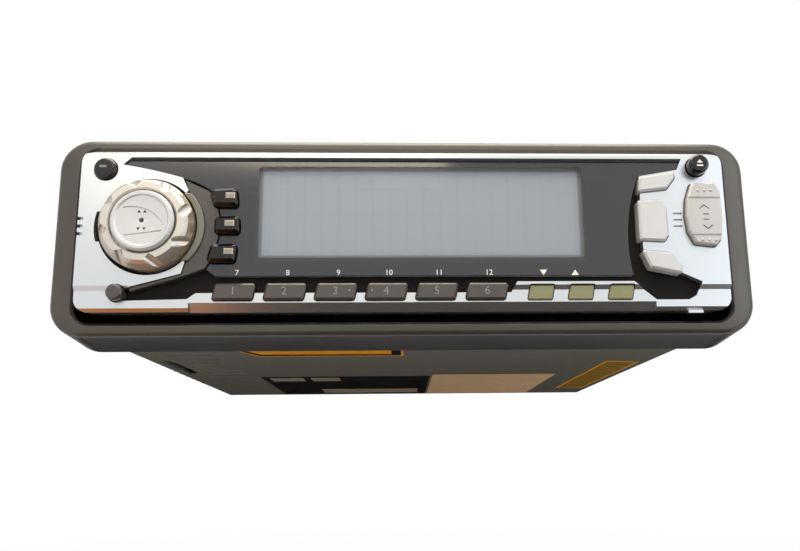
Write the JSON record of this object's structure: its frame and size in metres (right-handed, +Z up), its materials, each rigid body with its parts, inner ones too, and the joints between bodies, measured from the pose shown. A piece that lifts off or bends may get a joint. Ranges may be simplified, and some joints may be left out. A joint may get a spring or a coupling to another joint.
{
  "type": "car cd player",
  "caption": "Car CD player for a standard dashboard slot, with a flip-down, pull-off face, rotary dial, push buttons and a slot-loading disc drive.",
  "frame": {"origin": "centre of the chassis underside, in the plane of the trim ring's rear rim", "axes": "+X right as the driver sees it, +Y into the dash, +Z up"},
  "size_m": [0.1927, 0.1942, 0.0576],
  "materials": {
    "satin_black_abs": "satin moulded ABS with a fine grain",
    "silver_paint": "silver metallic paint on moulded ABS",
    "champagne_paint": "pearl champagne metallic paint",
    "smoked_acrylic": "polished smoked acrylic",
    "dark_abs": "dark moulded ABS",
    "gloss_black": "gloss black ABS",
    "green_acrylic": "tinted translucent acrylic",
    "pale_paint": "pale silver paint on ABS",
    "display_glass": "display glass, unlit",
    "green_board": "solder mask on glass fibre board",
    "galvanised_steel": "galvanised sheet",
    "anodised_aluminium": "mill finish extrusion",
    "nickel_steel": "nickel plated",
    "black_resin": "black moulded resin",
    "rubber": "moulded rubber",
    "motor_steel": "plated motor can"
  },
  "bodies": {
    "chassis": {"antenna_socket": "nickel_steel", "board_components": "black_resin", "changer_socket": "black_resin", "chassis_screws": "nickel_steel", "chassis_tray": "galvanised_steel", "drive_motors": "motor_steel", "front_frame": "dark_abs", "guide_rods": "nickel_steel", "harness_socket": "black_resin", "heat_sink": "anodised_aluminium", "hinge_brackets": "nickel_steel", "main_board": "green_board", "output_sockets": "black_resin", "rear_panel": "galvanised_steel", "rear_stud": "nickel_steel", "top_cover": "galvanised_steel", "transport_base": "galvanised_steel", "transport_dampers": "rubber", "trim_ring": "satin_black_abs"},
    "flip_frame": {"panel_holder": "dark_abs"},
    "faceplate": {"face_bezel": "silver_paint", "inner_bezel": "dark_abs", "dial_surround": "dark_abs", "dial_lightguide": "green_acrylic", "display_lens": "smoked_acrylic", "lcd_panel": "display_glass", "face_board": "green_board", "face_back": "satin_black_abs", "face_screws": "nickel_steel", "dial_encoder": "motor_steel"},
    "turntable": {"turntable": "black_resin"},
    "optical_pickup": {"optical_pickup": "black_resin"},
    "lead_screw": {"lead_screw": "nickel_steel"},
    "roller_arm": {"roller_arm": "galvanised_steel"},
    "feed_roller": {"feed_roller": "rubber"},
    "clamp_arm": {"clamp_arm": "galvanised_steel"},
    "clamp_puck": {"clamp_puck": "black_resin"},
    "eject_button": {"eject_button": "gloss_black"},
    "mode_button_1": {"mode_button_1": "green_acrylic"},
    "mode_button_2": {"mode_button_2": "green_acrylic"},
    "mode_button_3": {"mode_button_3": "green_acrylic"},
    "preset_button_1": {"preset_button_1": "gloss_black"},
    "preset_button_2": {"preset_button_2": "gloss_black"},
    "preset_button_3": {"preset_button_3": "gloss_black"},
    "preset_button_4": {"preset_button_4": "gloss_black"},
    "preset_button_5": {"preset_button_5": "gloss_black"},
    "preset_button_6": {"preset_button_6": "gloss_black"},
    "release_button": {"release_button": "gloss_black"},
    "select_button": {"select_button": "pale_paint"},
    "side_button_lower": {"side_button_lower": "gloss_black"},
    "side_button_middle": {"side_button_middle": "gloss_black"},
    "side_button_upper": {"side_button_upper": "gloss_black"},
    "source_button_bottom": {"source_button_bottom": "pale_paint"},
    "source_button_middle": {"source_button_middle": "pale_paint"},
    "source_button_top": {"source_button_top": "pale_paint"},
    "standby_button": {"standby_button": "gloss_black"},
    "seek_rocker": {"seek_rocker": "pale_paint"},
    "volume_dial": {"volume_dial": "champagne_paint"}
  },
  "joints": [
    {"name": "face_flip", "type": "hinge", "parent": "chassis", "child": "flip_frame", "pos_m": [0, -0.0125, 0.0066], "axis": [1, 0, 0], "range_deg": [0, 90]},
    {"name": "face_release", "type": "slide", "parent": "flip_frame", "child": "faceplate", "axis": [0, 1, 0], "range_m": [-0.025, 0]},
    {"name": "volume_turn", "type": "hinge", "parent": "faceplate", "child": "volume_dial", "pos_m": [-0.0683, -0.019, 0.0259], "axis": [0, 1, 0], "continuous": true},
    {"name": "seek_tilt", "type": "hinge", "parent": "faceplate", "child": "seek_rocker", "pos_m": [0.0806, -0.0136, 0.029], "axis": [1, 0, 0], "range_deg": [-3, 3], "stiffness_Nm_per_rad": 0.06},
    {"name": "turntable_spin", "type": "hinge", "parent": "chassis", "child": "turntable", "pos_m": [0, 0.076, 0.0285], "axis": [0, 0, 1], "continuous": true},
    {"name": "pickup_travel", "type": "slide", "parent": "chassis", "child": "optical_pickup", "axis": [1, 0, 0], "range_m": [0, 0.03]},
    {"name": "lead_screw_turn", "type": "hinge", "parent": "chassis", "child": "lead_screw", "pos_m": [0.04, 0.055, 0.0245], "axis": [1, 0, 0], "range_deg": [0, 3600]},
    {"name": "roller_lift", "type": "hinge", "parent": "chassis", "child": "roller_arm", "pos_m": [0, 0.036, 0.025], "axis": [1, 0, 0], "range_deg": [-7, 0]},
    {"name": "roller_spin", "type": "hinge", "parent": "roller_arm", "child": "feed_roller", "pos_m": [0, 0.018, 0.027], "axis": [1, 0, 0], "continuous": true},
    {"name": "clamp_drop", "type": "hinge", "parent": "chassis", "child": "clamp_arm", "pos_m": [0, 0.14, 0.039], "axis": [1, 0, 0], "range_deg": [0, 3]},
    {"name": "puck_spin", "type": "hinge", "parent": "clamp_arm", "child": "clamp_puck", "pos_m": [0, 0.076, 0.037], "axis": [0, 0, 1], "continuous": true},
    {"name": "eject_press", "type": "slide", "parent": "faceplate", "child": "eject_button", "axis": [0, 1, 0], "range_m": [0, 0.0005], "stiffness_N_per_m": 900},
    {"name": "mode_press_1", "type": "slide", "parent": "faceplate", "child": "mode_button_1", "axis": [0, 1, 0], "range_m": [0, 0.0005], "stiffness_N_per_m": 900},
    {"name": "mode_press_2", "type": "slide", "parent": "faceplate", "child": "mode_button_2", "axis": [0, 1, 0], "range_m": [0, 0.0005], "stiffness_N_per_m": 900},
    {"name": "mode_press_3", "type": "slide", "parent": "faceplate", "child": "mode_button_3", "axis": [0, 1, 0], "range_m": [0, 0.0005], "stiffness_N_per_m": 900},
    {"name": "preset_press_1", "type": "slide", "parent": "faceplate", "child": "preset_button_1", "axis": [0, 1, 0], "range_m": [0, 0.0005], "stiffness_N_per_m": 900},
    {"name": "preset_press_2", "type": "slide", "parent": "faceplate", "child": "preset_button_2", "axis": [0, 1, 0], "range_m": [0, 0.0005], "stiffness_N_per_m": 900},
    {"name": "preset_press_3", "type": "slide", "parent": "faceplate", "child": "preset_button_3", "axis": [0, 1, 0], "range_m": [0, 0.0005], "stiffness_N_per_m": 900},
    {"name": "preset_press_4", "type": "slide", "parent": "faceplate", "child": "preset_button_4", "axis": [0, 1, 0], "range_m": [0, 0.0005], "stiffness_N_per_m": 900},
    {"name": "preset_press_5", "type": "slide", "parent": "faceplate", "child": "preset_button_5", "axis": [0, 1, 0], "range_m": [0, 0.0005], "stiffness_N_per_m": 900},
    {"name": "preset_press_6", "type": "slide", "parent": "faceplate", "child": "preset_button_6", "axis": [0, 1, 0], "range_m": [0, 0.0005], "stiffness_N_per_m": 900},
    {"name": "release_press", "type": "slide", "parent": "faceplate", "child": "release_button", "axis": [0, 1, 0], "range_m": [0, 0.0005], "stiffness_N_per_m": 900},
    {"name": "select_press", "type": "slide", "parent": "faceplate", "child": "select_button", "axis": [0, 1, 0], "range_m": [0, 0.0005], "stiffness_N_per_m": 900},
    {"name": "side_press_lower", "type": "slide", "parent": "faceplate", "child": "side_button_lower", "axis": [0, 1, 0], "range_m": [0, 0.0005], "stiffness_N_per_m": 900},
    {"name": "side_press_middle", "type": "slide", "parent": "faceplate", "child": "side_button_middle", "axis": [0, 1, 0], "range_m": [0, 0.0005], "stiffness_N_per_m": 900},
    {"name": "side_press_upper", "type": "slide", "parent": "faceplate", "child": "side_button_upper", "axis": [0, 1, 0], "range_m": [0, 0.0005], "stiffness_N_per_m": 900},
    {"name": "source_press_bottom", "type": "slide", "parent": "faceplate", "child": "source_button_bottom", "axis": [0, 1, 0], "range_m": [0, 0.0005], "stiffness_N_per_m": 900},
    {"name": "source_press_middle", "type": "slide", "parent": "faceplate", "child": "source_button_middle", "axis": [0, 1, 0], "range_m": [0, 0.0005], "stiffness_N_per_m": 900},
    {"name": "source_press_top", "type": "slide", "parent": "faceplate", "child": "source_button_top", "axis": [0, 1, 0], "range_m": [0, 0.0005], "stiffness_N_per_m": 900},
    {"name": "standby_press", "type": "slide", "parent": "faceplate", "child": "standby_button", "axis": [0, 1, 0], "range_m": [0, 0.0005], "stiffness_N_per_m": 900}
  ],
  "couplings": [
    {"joint": "lead_screw_turn", "follows": "pickup_travel", "rad_per_m": 2094.4}
  ]
}
